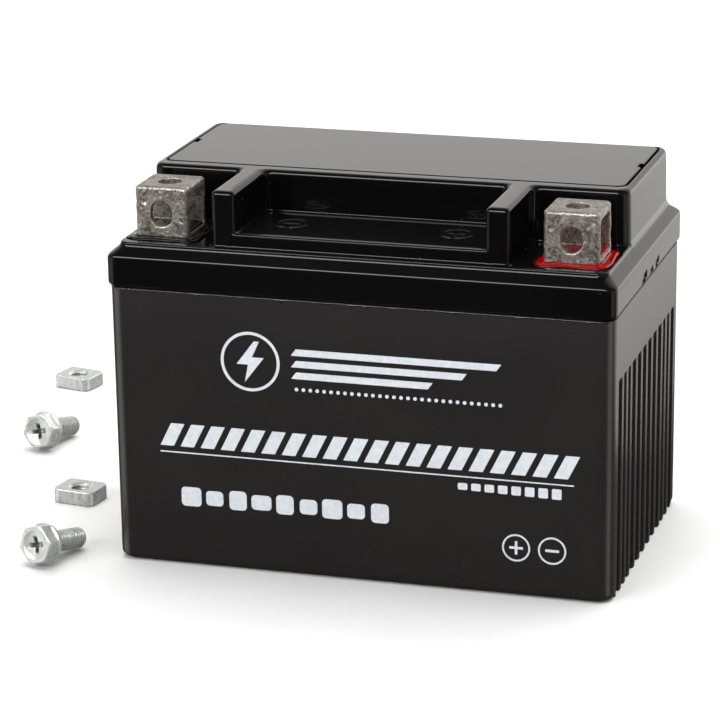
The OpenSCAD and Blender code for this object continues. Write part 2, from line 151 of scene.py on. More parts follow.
def block(g, low, high, radius, edge):
    """Upright block with rounded corners seen from above, and rounded edges."""
    x, y, z = [(low[k] + high[k]) / 2 for k in range(3)]
    plan = rect(g.x - x, g.y - y, (high[0] - low[0]) / 2, (high[1] - low[1]) / 2, radius)
    return meet(plan, between(g.z, low[2], high[2]), edge)


def ripple(g, wavelength, seed, count=14):
    """Smooth random field between about -1 and 1 with that wavelength."""
    rng = np.random.default_rng(seed)
    total = 0
    for _ in range(count):
        k = rng.normal(size=3)
        k *= 2 * math.pi / wavelength / np.linalg.norm(k) * rng.uniform(0.7, 1.3)
        phase = rng.uniform(0, 2 * math.pi)
        total = total + np.cos(k[0] * g.x + (k[1] * g.y + phase) + k[2] * g.z)
    return (total / math.sqrt(count / 2)).astype(np.float32) * 0.6


def sample(field, points):
    """Trilinear value of the field at points given in grid steps."""
    base = np.clip(np.floor(points).astype(int), 0, np.array(field.shape) - 2)
    f = points - base
    total = 0
    for corner in np.ndindex(2, 2, 2):
        weight = np.prod(np.where(corner, f, 1 - f), axis=1)
        i, j, k = (base + corner).T
        total = total + weight * field[i, j, k]
    return total


def skin(name, g, field, material, merge=0.01):
    """Mesh of the field's surface. Flat stretches are merged, and shading follows the field's own slope."""
    volume = openvdb.FloatGrid(10.0)
    field = np.ascontiguousarray(np.clip(field, -5, 5), dtype=np.float32)
    volume.copyFromArray(field)
    points, triangles, quads = volume.convertToPolygons(0.0, merge)
    mesh = bpy.data.meshes.new(name)
    mesh.from_pydata(points.tolist(), [], quads.tolist() + triangles.tolist())
    steps = 0.4 * np.eye(3)
    slope = np.stack([sample(field, points + d) - sample(field, points - d) for d in steps], axis=1)
    slope /= np.maximum(np.linalg.norm(slope, axis=1, keepdims=True), 1e-6)
    mesh.vertices.foreach_set("co", ((points * g.step + g.low) * MM).ravel())
    mesh.update()
    face = mesh.polygons[0]
    if Vector(slope[face.vertices[0]]).dot(face.normal) < 0:
        mesh.flip_normals()
    mesh.shade_smooth()
    mesh.normals_split_custom_set_from_vertices(slope.tolist())
    return place(name, mesh, material)


def place(name, mesh, material):
    """Puts a mesh into the scene as an object of one material."""
    piece = bpy.data.objects.new(name, mesh)
    bpy.context.scene.collection.objects.link(piece)
    mesh.materials.append(material)
    return piece


# ---------------------------------------------------------------- meshes built ring by ring

def outline(half_x, half_y, radius, end_y=(), steps=6):
    """Points round a rounded rectangle, anticlockwise from the right end. end_y adds points on both ends."""
    ends = sorted(end_y)
    points = [(half_x, y) for y in ends]
    for quarter, (sx, sy) in enumerate([(1, 1), (-1, 1), (-1, -1), (1, -1)]):
        if quarter == 2:
            points += [(-half_x, y) for y in reversed(ends)]
        for k in range(steps + 1):
            a = math.radians(90 * (quarter + k / steps))
            points.append((sx * (half_x - radius) + radius * math.cos(a),
                           sy * (half_y - radius) + radius * math.sin(a)))
    return points


class Builder:
    """Collects rings and faces in millimetres and turns them into one mesh."""

    def __init__(self):
        self.bm = bmesh.new()

    def ring(self, points):
        """Vertices at these points, without faces."""
        return [self.bm.verts.new(Vector(p) * MM) for p in points]

    def bridge(self, a, b):
        """Band of faces between two rings of the same count."""
        for i in range(len(a)):
            j = (i + 1) % len(a)
            self.bm.faces.new((a[i], a[j], b[j], b[i]))

    def loft(self, rings, close_low=True, close_high=True):
        """Skin over rings of points, closed at its ends."""
        made = [self.ring(r) for r in rings]
        for a, b in zip(made, made[1:]):
            self.bridge(a, b)
        if close_low:
            self.bm.faces.new(made[0][::-1])
        if close_high:
            self.bm.faces.new(made[-1])
        return made

    def fill(self, loops, flip=False):
        """Flat face bounded by the first loop, with the other loops as holes."""
        verts = [v for loop in loops for v in loop]
        for tri in tessellate_polygon([[v.co for v in loop] for loop in loops]):
            corners = [verts[i] for i in tri]
            self.bm.faces.new(corners[::-1] if flip else corners)

    def done(self, name, material, sharp=40):
        """Finished piece. Edges that turn by more than that many degrees stay sharp."""
        bmesh.ops.recalc_face_normals(self.bm, faces=self.bm.faces)
        mesh = bpy.data.meshes.new(name)
        self.bm.to_mesh(mesh)
        self.bm.free()
        mesh.shade_smooth()
        mesh.set_sharp_from_angle(angle=math.radians(sharp))
        piece = place(name, mesh, material)
        weighted = piece.modifiers.new("even_shading", "WEIGHTED_NORMAL")
        weighted.keep_sharp = True
        return piece


def show(piece, body, slot, *nodes):
    """Hands a finished piece to the frame: it rides on a body and stands for CAD nodes."""
    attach(piece, body)
    if nodes:
        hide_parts(*nodes)
    return piece


# ---------------------------------------------------------------- materials

RANGE_SOCKETS = ("From Min", "From Max", "To Min", "To Max")


class Shader:
    """A small helper that wires procedural nodes into one Principled shader."""

    def __init__(self, name, **sockets):
        self.material = bpy.data.materials.new(name)
        self.material.use_nodes = True
        self.tree = self.material.node_tree
        self.out = self.tree.nodes["Principled BSDF"]
        for socket, value in sockets.items():
            self.out.inputs[socket.replace("_", " ")].default_value = value
        self.at = self.tree.nodes.new("ShaderNodeTexCoord").outputs["Object"]

    def node(self, kind, **settings):
        made = self.tree.nodes.new("ShaderNode" + kind)
        for key, value in settings.items():
            if hasattr(made, key):
                setattr(made, key, value)
            else:
                made.inputs[key.replace("_", " ")].default_value = value
        return made

    def link(self, a, b):
        self.tree.links.new(a, b)

    def noise(self, size_mm, detail=4.0, roughness=0.55, stretch=(1, 1, 1), distortion=0.0):
        """Noise whose largest features are about that many millimetres across."""
        mapping = self.node("Mapping")
        mapping.inputs["Scale"].default_value = [s / (size_mm * MM) for s in stretch]
        self.link(self.at, mapping.inputs["Vector"])
        made = self.node("TexNoise", Scale=1.0, Detail=detail, Roughness=roughness, Distortion=distortion)
        self.link(mapping.outputs["Vector"], made.inputs["Vector"])
        return made.outputs["Fac"]

    def spots(self, size_mm, radius=0.25):
        """1 inside small round spots scattered about that many millimetres apart, else 0."""
        cells = self.node("TexVoronoi", Scale=1 / (size_mm * MM), Randomness=1.0)
        self.link(self.at, cells.inputs["Vector"])
        return self.ramp(cells.outputs["Distance"], radius * 0.6, radius, 1.0, 0.0)

    def ramp(self, value, low, high, to_low=0.0, to_high=1.0):
        made = self.node("MapRange")
        for socket, number in zip(RANGE_SOCKETS, (low, high, to_low, to_high)):
            made.inputs[socket].default_value = number
        self.link(value, made.inputs["Value"])
        return made.outputs["Result"]

    def math(self, operation, a, b):
        made = self.node("Math", operation=operation)
        for socket, value in zip(made.inputs, (a, b)):
            if isinstance(value, (int, float)):
                socket.default_value = value
            else:
                self.link(value, socket)
        return made.outputs["Value"]

    def mix(self, factor, a, b):
        """Colour between a and b."""
        made = self.node("Mix", data_type="RGBA")
        self.link(factor, made.inputs["Factor"])
        for socket, value in ((made.inputs["A"], a), (made.inputs["B"], b)):
            if isinstance(value, tuple):
                socket.default_value = (*value, 1)
            else:
                self.link(value, socket)
        return made.outputs["Result"]

    def edges(self, low=0.52, high=0.6):
        """1 on convex edges, else 0."""
        return self.ramp(self.node("NewGeometry").outputs["Pointiness"], low, high)

    def hollow_shade(self, reach_mm):
        """Mask for painted shade: 1 deep in recesses and between threads, 0 on open faces."""
        open_sky = self.node("AmbientOcclusion", Distance=reach_mm * MM, only_local=True, samples=6)
        return self.ramp(open_sky.outputs["AO"], 0.35, 0.9, 1.0, 0.0)

    def facing_up(self):
        """1 on level faces seen from above, else 0."""
        split = self.node("SeparateXYZ")
        self.link(self.node("NewGeometry").outputs["Normal"], split.inputs[0])
        return self.ramp(split.outputs["Z"], 0.85, 0.98)

    def base(self, colour):
        self.link(colour, self.out.inputs["Base Color"])

    def rough(self, value):
        self.link(value, self.out.inputs["Roughness"])

    def bump(self, height, distance_mm, strength=1.0):
        made = self.node("Bump", Strength=strength, Distance=distance_mm * MM)
        self.link(height, made.inputs["Height"])
        previous = self.out.inputs["Normal"].links
        if previous:
            self.link(previous[0].from_socket, made.inputs["Normal"])
        self.link(made.outputs["Normal"], self.out.inputs["Normal"])


def gloss_plastic(name):
    """Polished black moulding: faint flow marks, fine scratches and a few dust specks."""
    sh = Shader(name, IOR=1.34)
    flow = sh.noise(35, detail=3, stretch=(0.5, 1.5, 1))
    specks = sh.spots(5.5, 0.05)
    colour = sh.mix(sh.ramp(flow, 0.3, 0.7), (0.0022, 0.0021, 0.0022), (0.0034, 0.0033, 0.0034))
    sh.base(sh.mix(specks, colour, (0.05, 0.05, 0.052)))
    scratches = sh.ramp(sh.noise(1.6, detail=6, stretch=(0.12, 2.6, 1.0), distortion=0.4), 0.62, 0.74)
    rough = sh.math("ADD", sh.ramp(flow, 0.25, 0.75, 0.06, 0.13), sh.math("MULTIPLY", scratches, 0.03))
    sh.rough(sh.math("ADD", rough, sh.math("MULTIPLY", specks, 0.2)))
    sh.bump(sh.noise(9, detail=2), 0.02, 0.35)
    sh.bump(sh.noise(0.5, detail=2), 0.0015, 0.5)
    return sh.material


def satin_plastic(name):
    """Finely textured black moulding, a little paler on its edges."""
    sh = Shader(name, IOR=1.7)
    cloud = sh.noise(28, detail=5)
    colour = sh.mix(sh.ramp(cloud, 0.3, 0.7), (0.0136, 0.0118, 0.0115), (0.0168, 0.0148, 0.0144))
    sh.base(sh.mix(sh.edges(0.53, 0.64), colour, (0.03, 0.029, 0.03)))
    sh.rough(sh.ramp(cloud, 0.25, 0.75, 0.26, 0.285))
    sh.bump(sh.noise(0.32, detail=3, roughness=0.6), 0.012, 0.6)
    sh.bump(sh.noise(14, detail=2), 0.04, 0.25)
    return sh.material


def cast_lead(name):
    """Weathered cast lead: brown-grey mottling and dark pits, paler edges that are partly rubbed wear and
    partly a painted highlight, a painted shade on the top and in recesses.
    """
    sh = Shader(name, Metallic=0.75, IOR=1.6)
    cloud = sh.noise(2.6, detail=8, roughness=0.7, distortion=0.6)
    fine = sh.noise(0.42, detail=7, roughness=0.75)
    tone = sh.math("ADD", sh.math("MULTIPLY", cloud, 0.4), sh.math("MULTIPLY", fine, 0.6))
    colour = sh.mix(sh.ramp(tone, 0.38, 0.62), (0.1, 0.083, 0.07), (0.58, 0.53, 0.48))
    stain = sh.ramp(sh.noise(1.7, detail=6, distortion=1.8), 0.52, 0.64)
    colour = sh.mix(sh.math("MULTIPLY", stain, 0.7), colour, (0.08, 0.06, 0.044))
    colour = sh.mix(sh.spots(1.6, 0.16), colour, (0.03, 0.026, 0.022))
    # Paler convex edges: partly rubbed wear, partly a painted highlight.
    colour = sh.mix(sh.edges(0.515, 0.57), colour, (0.8, 0.72, 0.64))
    # Level top faces darkened half way: painted shade.
    colour = sh.mix(sh.math("MULTIPLY", sh.facing_up(), 0.5), colour, (0.09, 0.075, 0.062))
    # Painted shade deep in recesses and in the slot.
    sh.base(sh.mix(sh.hollow_shade(1.6), colour, (0.03, 0.025, 0.02)))
    sh.rough(sh.math("SUBTRACT", sh.ramp(tone, 0.3, 0.7, 0.56, 0.36), sh.math("MULTIPLY", sh.edges(), 0.12)))
    sh.bump(cloud, 0.07, 0.6)
    sh.bump(fine, 0.05, 0.8)
    return sh.material


def resin(name, deep, pale):
    """Glossy cast resin with a slightly uneven surface and cloudy depth."""
    sh = Shader(name, IOR=1.24)
    cloud = sh.noise(4, detail=4)
    sh.base(sh.mix(sh.ramp(cloud, 0.3, 0.7), deep, pale))
    sh.rough(sh.ramp(cloud, 0.3, 0.7, 0.05, 0.11))
    sh.bump(sh.noise(2.4, detail=2), 0.12, 0.4)
    return sh.material


def zinc_plate(name, flats=1.0):
    """Bright zinc plating with soft clouds and a green tint, a painted highlight on its edges and painted
    shade in recesses. Level faces can be darkened as painted shade.
    """
    sh = Shader(name, Metallic=0.5, IOR=1.8)
    cloud = sh.noise(2.5, detail=5)
    fine = sh.noise(0.35, detail=4)
    colour = sh.mix(sh.ramp(cloud, 0.3, 0.7), (0.64, 0.665, 0.645), (0.8, 0.815, 0.775))
    colour = sh.mix(sh.ramp(fine, 0.6, 0.72, 0.0, 0.4), colour, (0.56, 0.57, 0.55))
    # Paler convex edges: a painted highlight.
    colour = sh.mix(sh.edges(0.53, 0.62), colour, (0.92, 0.92, 0.9))
    # When flats is below 1, level faces seen from above are darkened: painted shade.
    if flats < 1:
        painted_top_shade = tuple(flats * tone for tone in (0.9, 0.92, 0.91))
        colour = sh.mix(sh.facing_up(), colour, painted_top_shade)
    # Painted shade in recesses and between the threads.
    sh.base(sh.mix(sh.hollow_shade(1.2), colour, (0.07, 0.075, 0.065)))
    sh.rough(sh.math("ADD", sh.ramp(cloud, 0.3, 0.7, 0.2, 0.3), sh.math("MULTIPLY", fine, 0.08)))
    sh.bump(fine, 0.012, 0.3)
    return sh.material


def plain(name, dark, light, rough, size_mm, bump_mm, metallic=0.0, stretch=(1, 1, 1)):
    """Simple material of two tones, with uneven roughness and a grain."""
    sh = Shader(name, Metallic=metallic)
    grain = sh.noise(size_mm, detail=6, stretch=stretch)
    sh.base(sh.mix(sh.ramp(grain, 0.3, 0.7), dark, light))
    sh.rough(sh.ramp(grain, 0.25, 0.75, rough, min(1.0, rough + 0.15)))
    sh.bump(grain, bump_mm, 0.6)
    return sh.material


def ink(name):
    """Screen-printed silver-white ink, slightly uneven in cover."""
    sh = Shader(name, IOR=1.45)
    cover = sh.noise(0.8, detail=5)
    sh.base(sh.mix(sh.ramp(cover, 0.3, 0.7), (0.62, 0.66, 0.71), (0.74, 0.78, 0.82)))
    sh.rough(sh.ramp(cover, 0.3, 0.7, 0.4, 0.55))
    sh.bump(cover, 0.01, 0.4)
    return sh.material


GLOSS = gloss_plastic("gloss_black")
SATIN = satin_plastic("satin_black")
LEAD = cast_lead("terminal_lead")
RED = resin("red_resin", (0.17, 0.001, 0.0015), (0.3, 0.0015, 0.003))
BLACK = resin("black_resin", (0.003, 0.003, 0.003), (0.007, 0.007, 0.007))
ZINC = zinc_plate("zinc_plate")
# This copy has painted shade on the nut's level top.
NUT_ZINC = zinc_plate("nut_zinc_plate", flats=0.42)
INK = ink("print_ink")
FLASH = plain("weld_flash", (0.006, 0.005, 0.005), (0.03, 0.026, 0.024), 0.12, 1.5, 0.02)


# ---------------------------------------------------------------- cover

# Flaws over the weld at the right: place along Y, height over the seam, and radius.
WELD_PITS = [(-7.0, 0.6, 1.05), (-5.6, 1.5, 1.25), (-4.0, 2.0, 1.0), (1.2, 0.9, 1.0), (2.6, 1.4, 0.85),
             (7.2, 1.3, 1.0), (8.7, 2.0, 0.9)]


def shoulder_inset(z):
    """How far the outline of the cover stands in at each height, with its corners softened."""
    groove, groove_height, slope, soften = 0.75, 0.45, 1.8, 0.35
    shoulder_z = FLANGE_Z + slope
    heights = [SEAM, SEAM + groove_height, FLANGE_Z - 0.2, FLANGE_Z, shoulder_z - 0.1, shoulder_z + 0.1, TOP]
    insets = [groove, 0, 0, 0.1, SHOULDER - 0.1, SHOULDER + 0.1, SHOULDER + 0.3]
    offsets = np.linspace(-soften, soften, 7)
    return sum(np.interp(z + d, heights, insets) for d in offsets) / len(offsets)


def cover_outside(g):
    """Flange and shoulder, the raised block with its two dividers, and the shelf between them."""
    flange_corner, block_corner, divider_corner, divider_fillet = 2.4, 2.8, 1.2, 2.0
    flange_edge, block_edge, draft = 0.35, 1.15, 0.02
    overlap = 2     # how far the dividers and the shelf run into what they join
    inset = shoulder_inset(g.z)
    body = rect(g.x, g.y, FLANGE_X - inset, FLANGE_Y - inset, flange_corner)
    body = meet(body, between(g.z, SEAM, PLATFORM), flange_edge)

    lean = draft * (g.z - PLATFORM)
    half_y = (BLOCK_BACK - BLOCK_FRONT) / 2
    plan = rect(g.x, g.y - (BLOCK_FRONT + BLOCK_BACK) / 2, BLOCK_X - lean, half_y - lean, block_corner)
    half_x = (DIVIDER_OUT - DIVIDER_IN) / 2
    half_y = (BLOCK_FRONT + 3 * overlap - DIVIDER_FRONT) / 2
    for side in (-1, 1):
        u = g.x - side * (DIVIDER_IN + DIVIDER_OUT) / 2
        divider = rect(u, g.y - DIVIDER_FRONT - half_y, half_x, half_y, divider_corner)
        plan = join(plan, divider, divider_fillet)
    body = join(body, meet(plan, between(g.z, FLANGE_Z, TOP), block_edge), 0.6)

    shelf_low = (-DIVIDER_IN - overlap, DIVIDER_FRONT, FLANGE_Z)
    shelf_high = (DIVIDER_IN + overlap, BLOCK_FRONT + 2 * overlap, SHELF)
    return join(body, block(g, shelf_low, shelf_high, 0.8, 0.55), 0.5)


def polarity_marks(g):
    """Raised signs on the shelf: a ring with a bar at the left, a ring with a cross at the right."""
    mark_x, mark_y, radius, arm, half_line, proud = 18.5, -20, 3.4, 2.0, 0.4, 0.1
    marks = []
    for side in (-1, 1):
        u, v = g.x - side * mark_x, g.y - mark_y
        mark = np.minimum(np.abs(disc(u, v, radius)) - 0.35, rect(u, v, arm, half_line, 0.3))
        if side > 0:
            mark = np.minimum(mark, rect(u, v, half_line, arm, 0.3))
        marks.append(meet(mark, between(g.z, SHELF - 1, SHELF + proud), 0.2))
    return np.minimum(*marks)


def hollow_cover(g, body):
    """Takes out the space over the cells, and the recess and the chamber under the cap strip."""
    skirt_wall, block_wall, cap_gap, ledge_width = 2.7, 2.4, 0.4, 2.35
    under = SEAM - 3
    low_space = block(g, (-FLANGE_X + skirt_wall, -FLANGE_Y + skirt_wall, under),
                      (FLANGE_X - skirt_wall, FLANGE_Y - skirt_wall, PLATFORM - 2.5), 1.5, 0.3)
    high_space = block(g, (-BLOCK_X + block_wall, BLOCK_FRONT + block_wall, under),
                       (BLOCK_X - block_wall, BLOCK_BACK - block_wall, DECK - 2), 1.5, 0.3)
    body = cut(body, np.minimum(low_space, high_space), 0.2)

    half_x = CAP_HIGH[0] + cap_gap
    half_y = (CAP_HIGH[1] - CAP_LOW[1]) / 2 + cap_gap
    recess = rect(g.x, g.y - CAP_Y, half_x, half_y, 2.2)
    chamber = rect(g.x, g.y - CAP_Y, half_x - ledge_width, half_y - ledge_width, 2)
    body = cut(body, meet(recess, between(g.z, LEDGE, TOP + 3), 0.2), 0.25)
    return cut(body, meet(chamber, between(g.z, DECK, TOP), 0.3), 0.25)


def add_cell_fittings(g, body):
    """A filler well and a vent nipple over each cell, and the tops of the walls between the cells."""
    well_bore, well_outer, vent_bore, nipple_outer = 5.5, 6.7, 1.0, 2.2
    for x in CELL_X:
        well = meet(disc(g.x - x, g.y - WELL_Y, well_outer), between(g.z, DECK - 7, LEDGE - 0.5), 0.3)
        nipple = meet(disc(g.x - x, g.y - NIPPLE_Y, nipple_outer), between(g.z, DECK - 1, DECK + 3), 0.3)
        body = join(body, np.minimum(well, nipple), 0.5)
    for a, b in zip(CELL_X, CELL_X[1:]):
        across = np.abs(g.x - (a + b) / 2) - CELL_WALL / 2
        along = np.maximum(np.abs(g.y) - FLANGE_Y + 3, between(g.z, SEAM, PLATFORM - 2))
        body = np.minimum(body, np.maximum(across, along))
    for x in CELL_X:
        body = cut(body, disc(g.x - x, g.y - WELL_Y, well_bore) + 0 * g.z, 0.3)
        body = cut(body, disc(g.x - x, g.y - NIPPLE_Y, vent_bore) + 0 * g.z, 0.2)
    return body


def cut_post_wells(g, body):
    """Takes out a well for the resin under each terminal, and a bore for its post."""
    post_bore, depth = 3.55, 1.2
    for side in (-1, 1):
        u, v = g.x - side * TERM_X, g.y - TERM_Y
        well = meet(rect(u, v, SEAL_HALF[0], SEAL_HALF[1], 2.4), between(g.z, PLATFORM - depth, TOP), 0.3)
        bore = meet(disc(u, v, post_bore), between(g.z, SEAM, PLATFORM), 0.1)
        body = cut(cut(body, well, 0.3), bore, 0.2)
    return body


def cut_pits(g, body):
    """Takes small flaws out of the right side of the flange, over the weld."""
    outside = 0.3
    for y, height, radius in WELD_PITS:
        pit = np.sqrt((g.x - FLANGE_X - outside) ** 2 + (g.y - y) ** 2 + (g.z - SEAM - height) ** 2)
        body = cut(body, pit - radius, 0.12)
    return body


def make_cover():
    g = Grid(COVER_LOW, (FLANGE_X, FLANGE_Y, TOP), 0.3)
    body = join(cover_outside(g), polarity_marks(g), 0.12)
    body = hollow_cover(g, body)
    body = add_cell_fittings(g, body)
    body = cut_post_wells(g, body)
    body = cut_pits(g, body)
    body = np.maximum(body, SEAM - g.z)
    nodes = ["cover", "cover_block", "cover_shelf", "cover_divider_left", "cover_divider_right",
             "cover_cell_walls"]
    show(skin("cover_moulding", g, body, GLOSS), "battery", "cover_plastic", *nodes)


# ---------------------------------------------------------------- terminals and their resin

def make_terminal(side, name, seed):
    """Cast box, open at its sides, with a round hole on top, a slot in front and one for the post below."""
    swell, corner, edge, wall, floor, roof = 0.1, 1.1, 0.75, 1.7, 2.5, 2.0
    top_hole, slot_half_x, slot_half_z, slot_depth, post_hole = 2.65, 2.45, 2.9, 6.1, 3.5
    low, high = TERM_LOW[2], TERM_HIGH[2]
    g = Grid(TERM_LOW - (TERM_X, 0, 0), TERM_HIGH - (TERM_X, 0, 0), 0.14)
    u, v = g.x, g.y - TERM_Y
    rough = 0.05 * ripple(g, 3.5, seed) + 0.03 * ripple(g, 1.1, seed + 1)
    body = rect(u, v, TERM_HALF[0] - swell, TERM_HALF[1] - swell, corner) + rough
    body = meet(body, between(g.z, low, high - swell), edge)
    half_z = (high - roof - low - floor) / 2
    cavity = rect(v, g.z - low - floor - half_z, TERM_HALF[1] - wall, half_z, 0.8)
    body = cut(body, meet(cavity, np.abs(u) - 20, 0.1) + rough * 0.8, 0.45)
    body = cut(body, np.maximum(disc(u, v, top_hole) + 0.7 * rough, high - 5 - g.z), 0.25)
    slot = rect(u, g.z - (high - slot_depth), slot_half_x, slot_half_z, 2.4)
    body = cut(body, np.maximum(slot + 0.7 * rough, v), 0.2)
    body = cut(body, np.maximum(disc(u, v, post_hole), g.z - low - 4), 0.1)
    body = cut_casting_pits(g, body, np.random.default_rng(seed + 7))
    g.low[0] += side * TERM_X
    show(skin(name + "_casting", g, body, LEAD), "battery", "lead", name)


def cut_casting_pits(g, body, rng):
    """Takes shallow pits out of the front and the top of a terminal whose middle is at X = 0."""
    low, high = TERM_LOW[2], TERM_HIGH[2]
    for _ in range(5):
        x, y, z = rng.uniform(-5, 5, size=3)
        if rng.random() < 0.6:
            y = -TERM_HALF[1]
        z = high if y > -6 else (low + high) / 2 + z
        pit = np.sqrt((g.x - x) ** 2 + (g.y - TERM_Y - y) ** 2 + (g.z - z) ** 2)
        body = cut(body, pit - rng.uniform(0.2, 0.4), 0.45)
    return body


def make_resin(side, name, material, slot, seed):
    """Poured resin: an uneven pad that climbs the terminal's foot and fills the bottom of its cavity."""
    low = SEAL_LOW[2]
    pad_top, collar_top, fill_top = PLATFORM + 0.45, PLATFORM + 0.7, SEAL_HIGH[2] - 0.9
    front_wall, floor_thick = 1.75, 2.55
    g = Grid(SEAL_LOW - (TERM_X, 0, 0), SEAL_HIGH - (TERM_X, 0, -0.3), 0.2)
    u, v = g.x, g.y - TERM_Y
    wave = ripple(g, 6, seed)
    pad = rect(u, v, SEAL_HALF[0] - 0.3, SEAL_HALF[1] - 0.3, 2.3) + 0.25 * wave
    pad = meet(pad, between(g.z, low, pad_top + 0.1 * wave), 0.45)
    collar = rect(u, v, TERM_HALF[0] + 0.15, TERM_HALF[1] + 0.15, 1.2)
    collar = meet(collar, between(g.z, low, collar_top), 0.4)
    fill = rect(u, v, TERM_HALF[0] - 0.1, TERM_HALF[1] - front_wall, 0.8)
    fill = meet(fill, between(g.z, low, fill_top + 0.12 * wave), 0.6)
    body = join(join(pad, collar, 0.8), fill, 0.8)
    terminal = rect(u, v, TERM_HALF[0], TERM_HALF[1], 1.1) + 0 * g.z
    cavity = np.maximum(np.abs(v) - TERM_HALF[1] + front_wall, TERM_LOW[2] + floor_thick - g.z)
    body = cut(body, cut(terminal, cavity, 0.05), 0.05)
    g.low[0] += side * TERM_X
    show(skin(name + "_resin", g, body, material), "battery", slot, name)


# ---------------------------------------------------------------- case

GROOVE_TOP = 48.5


def rib_grooves():
    """For each Y where the skin of an end turns, how much of a groove's depth it has there."""
    rib, last_groove = 1.9, 4.3
    middles = [0, 5.4, 10.8, 16.2, 20.5, 24.8]
    middles = [-y for y in middles[:0:-1]] + middles
    starts = [-middles[-1] - last_groove] + [y + rib / 2 for y in middles]
    ends = [y - rib / 2 for y in middles] + [middles[-1] + last_groove]
    side = [(-0.16, 0.0), (0.0, 0.06), (0.12, 0.4), (0.24, 0.9), (0.42, 1.0)]
    share = {}
    for start, end in zip(starts, ends):
        for offset, part in side:
            share[start + offset] = part
            share[end - offset] = part
    return share


def case_ring(z, share):
    """Outline of the case at a height: tucked in at the foot, a little drafted, grooved on its ends."""
    foot, rib_foot, draft, depth = 1.8, 0.15, 0.12, 1.4
    tuck = foot - math.sqrt(foot ** 2 - max(foot - z, 0) ** 2)
    inset = tuck + draft * (1 - z / SEAM)
    fade = float(np.interp(z - GROOVE_TOP, [-1.3, -1.0, -0.4, -0.05, 0.15], [1, 0.9, 0.35, 0.06, 0]))
    points = []
    for x, y in outline(CASE_X - inset, CASE_Y - inset, CASE_CORNER, share):
        move = 0
        if abs(x) > CASE_X - inset - 1e-6 and y in share:
            move = tuck - min(tuck, rib_foot) - depth * fade * share[y]
        points.append((x + math.copysign(1, x) * move, y, z))
    return points


def make_case():
    """Outer skin lofted ring by ring, with its rim, and six open cells inside."""
    wall, floor, rim_z, rim_inset = 2.4, 2.4, SEAM - 0.25, 0.5
    share = rib_grooves()
    foot_heights = [0, 0.07, 0.25, 0.55, 0.95, 1.35, 1.8]
    groove_heights = [GROOVE_TOP + d for d in (-1.3, -1.0, -0.7, -0.4, -0.2, -0.05, 0.15)]
    b = Builder()
    rings = b.loft([case_ring(z, share) for z in foot_heights + groove_heights + [rim_z]], close_high=False)
    shrink_x, shrink_y = 1 - rim_inset / CASE_X, 1 - rim_inset / CASE_Y
    rim = b.ring([(x * shrink_x, y * shrink_y, SEAM) for x, y, _ in case_ring(rim_z, share)])
    b.bridge(rings[-1], rim)
    half_x = (CELL_X[1] - CELL_X[0] - CELL_WALL) / 2
    mouths = []
    for x in CELL_X:
        corners = outline(half_x, CASE_Y - wall, 0.8, steps=3)
        mouth = b.ring([(x + u, v, SEAM) for u, v in corners])
        bottom = b.ring([(x + u, v, floor) for u, v in corners])
        b.bridge(bottom, mouth)
        b.bm.faces.new(bottom)
        mouths.append(mouth[::-1])
    b.fill([rim] + mouths)
    show(b.done("case_moulding", SATIN, sharp=50), "battery", "case_plastic", "case", "cell_walls")


def seam_path():
    """Points round the top of the case, closer together along its front, and the outward way at each."""
    end_half, front_half = CASE_Y - CASE_CORNER - 0.9, CASE_X - CASE_CORNER - 0.4
    end_y = np.linspace(-end_half, end_half, 110)
    path = np.array(outline(CASE_X, CASE_Y, CASE_CORNER, end_y, steps=8))
    front = [(x, CASE_FRONT) for x in np.linspace(-front_half, front_half, 190)]
    start = int(np.argmin(np.hypot(path[:, 0] + front_half, path[:, 1] - CASE_FRONT)))
    path = np.vstack([path[:start + 1], front, path[start + 1:]])
    ahead, behind = np.roll(path, -1, 0), np.roll(path, 1, 0)
    out = np.stack([ahead[:, 1] - behind[:, 1], behind[:, 0] - ahead[:, 0]], 1)
    return path, out / np.linalg.norm(out, axis=1, keepdims=True)


def make_weld_flash():
    """Ragged bead squeezed out of the welded seam, under the overhang of the cover, cleaner at the right."""
    rng = np.random.default_rng(41)
    path, out = seam_path()
    n = len(path)
    bulge = np.clip(np.convolve(rng.random(n + 2), [0.3, 0.4, 0.3], "valid"), 0, 1)
    drips = np.zeros(n)
    for _ in range(26):
        middle, width = rng.integers(n), rng.uniform(1, 3)
        drips += rng.uniform(0.2, 0.9) * np.exp(-((np.arange(n) - middle) / width) ** 2)
    clean = np.where(path[:, 0] > CASE_X - 1, 0.2, 1.0)
    proud = clean * (0.1 + 0.14 * bulge + 0.06 * np.clip(drips, 0, 1))
    drop = clean * (0.3 + 0.25 * bulge + 0.8 * np.clip(drips, 0, 1.4))
    inside, top = 0.05, SEAM - 0.1
    b = Builder()
    made = []
    for out_share, down_share in ((0.0, 0.0), (0.55, 0.1), (0.9, 0.3), (1.0, 0.5), (0.9, 0.72), (0.0, 1.0)):
        xy = path + out * (proud * out_share - inside)[:, None]
        made.append(b.ring([(x, y, top - d * down_share) for (x, y), d in zip(xy, drop)]))
    for lower, upper in zip(made, made[1:] + made[:1]):
        b.bridge(lower, upper)
    show(b.done("weld_flash", FLASH, sharp=80), "battery", "case_plastic")


# ---------------------------------------------------------------- cap strip

def lathe(b, x, y, profile, steps=40):
    """Closed solid turned about an upright axis from points (radius, height)."""
    turns = [2 * math.pi * k / steps for k in range(steps)]
    b.loft([[(x + r * math.cos(t), y + r * math.sin(t), z) for t in turns] for r, z in profile])


